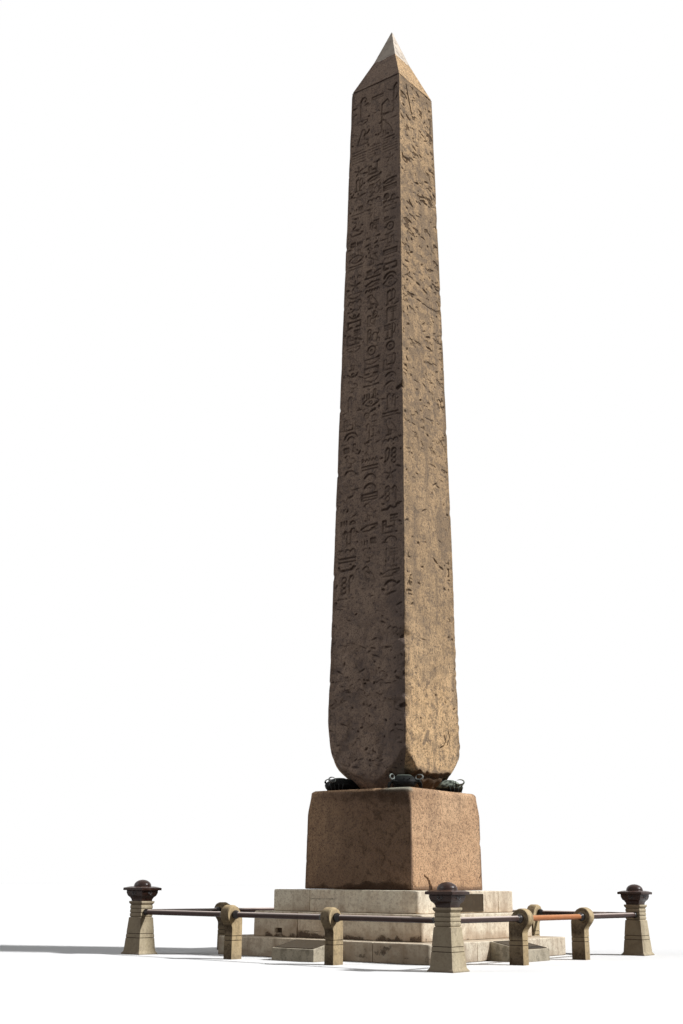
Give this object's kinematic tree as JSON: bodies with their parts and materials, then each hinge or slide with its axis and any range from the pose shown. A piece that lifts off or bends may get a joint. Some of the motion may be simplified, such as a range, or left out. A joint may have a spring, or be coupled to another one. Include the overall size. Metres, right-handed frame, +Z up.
{
  "type": "obelisk",
  "caption": "Tall tapering granite obelisk with carved sides and a pyramid tip, on bronze crabs, a pedestal and stone steps, inside a low pipe railing.",
  "frame": {"origin": "middle of the ground plane under the whole monument", "axes": "+Z up along the shaft, -Y to the front side, +X to the right side"},
  "size_m": [8.783, 8.783, 24.808],
  "materials": {
    "granite": "matte weathered",
    "limestone": "matte weathered",
    "railing_stone": "matte dressed",
    "crab_bronze": "dark patina",
    "cap_metal": "brown patina",
    "rail_metal": "brown patina",
    "tablet_bronze": "dull patina"
  },
  "bodies": {
    "root": {"obelisk_shaft": "granite", "pedestal": "granite", "bottom_step_front_stone": "limestone", "bottom_step_back_stone": "limestone", "bottom_step_corner_stone": "limestone", "bottom_step_infill_stone": "limestone", "bottom_step_right_stone": "limestone", "middle_step_left_front_stone": "limestone", "middle_step_left_back_stone": "limestone", "middle_step_right_stone": "limestone", "top_step_left_stone": "limestone", "top_step_right_stone": "limestone", "top_step_back_stone": "limestone", "corner_pier_front_right": "railing_stone", "corner_pier_back_right": "railing_stone", "corner_pier_back_left": "railing_stone", "corner_pier_front_left": "railing_stone", "ring_post_front_1": "railing_stone", "ring_post_front_2": "railing_stone", "ring_post_right_1": "railing_stone", "ring_post_right_2": "railing_stone", "ring_post_back_1": "railing_stone", "ring_post_back_2": "railing_stone", "ring_post_left_1": "railing_stone", "ring_post_left_2": "railing_stone", "desk_front": "railing_stone", "desk_right": "railing_stone", "desk_back": "railing_stone", "desk_left": "railing_stone", "crab_front_right": "crab_bronze", "crab_back_right": "crab_bronze", "crab_back_left": "crab_bronze", "crab_front_left": "crab_bronze", "pier_cap_front_right": "cap_metal", "pier_cap_back_right": "cap_metal", "pier_cap_back_left": "cap_metal", "pier_cap_front_left": "cap_metal", "rail_front": "rail_metal", "rail_right": "rail_metal", "rail_back": "rail_metal", "rail_left": "rail_metal", "desk_tablet_front": "tablet_bronze", "desk_tablet_right": "tablet_bronze", "desk_tablet_back": "tablet_bronze", "desk_tablet_left": "tablet_bronze"}
  },
  "joints": []
}
